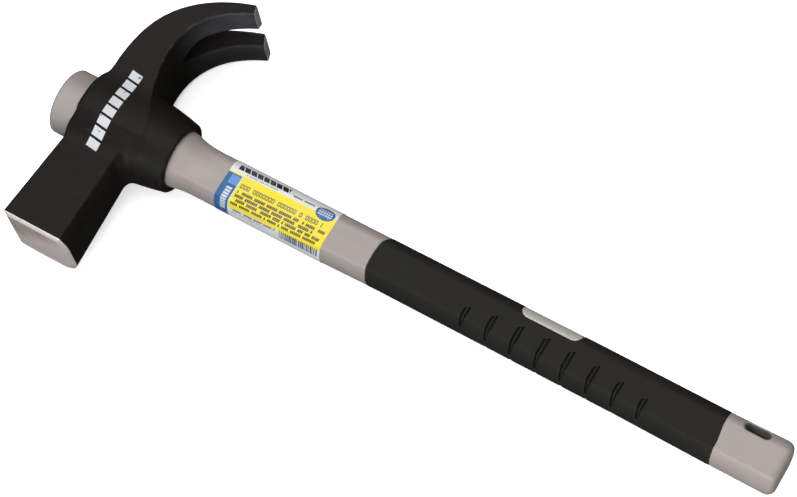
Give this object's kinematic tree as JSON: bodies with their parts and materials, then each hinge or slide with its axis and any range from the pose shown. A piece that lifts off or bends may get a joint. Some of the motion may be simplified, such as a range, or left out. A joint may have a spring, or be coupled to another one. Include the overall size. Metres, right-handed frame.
{
  "type": "claw hammer",
  "caption": "Formwork claw hammer: square-faced forged head with a curved split claw, jacketed glass-fibre handle and ribbed rubber grip.",
  "frame": {"origin": "middle of the bounding box in plan, at the height of the lowest point of the head, with the hammer lying on its cheek", "axes": "+X along the handle from the head to the butt, -Y towards the striking face, +Y towards the claw, +Z towards the upper cheek"},
  "size_m": [0.4, 0.1535, 0.0526],
  "materials": {
    "head_paint": "satin",
    "bare_steel": "ground",
    "grey_plastic": "matte",
    "grip_rubber": "matte",
    "glass_fibre": "satin",
    "epoxy": "satin",
    "seal_rubber": "matte",
    "label_film": "satin"
  },
  "bodies": {
    "root": {"head": "head_paint", "core_rod": "glass_fibre", "jacket": "grey_plastic", "grip": "grip_rubber", "eye_cap": "grey_plastic", "eye_bond": "epoxy", "eye_seal": "seal_rubber", "label": "label_film"}
  },
  "joints": []
}
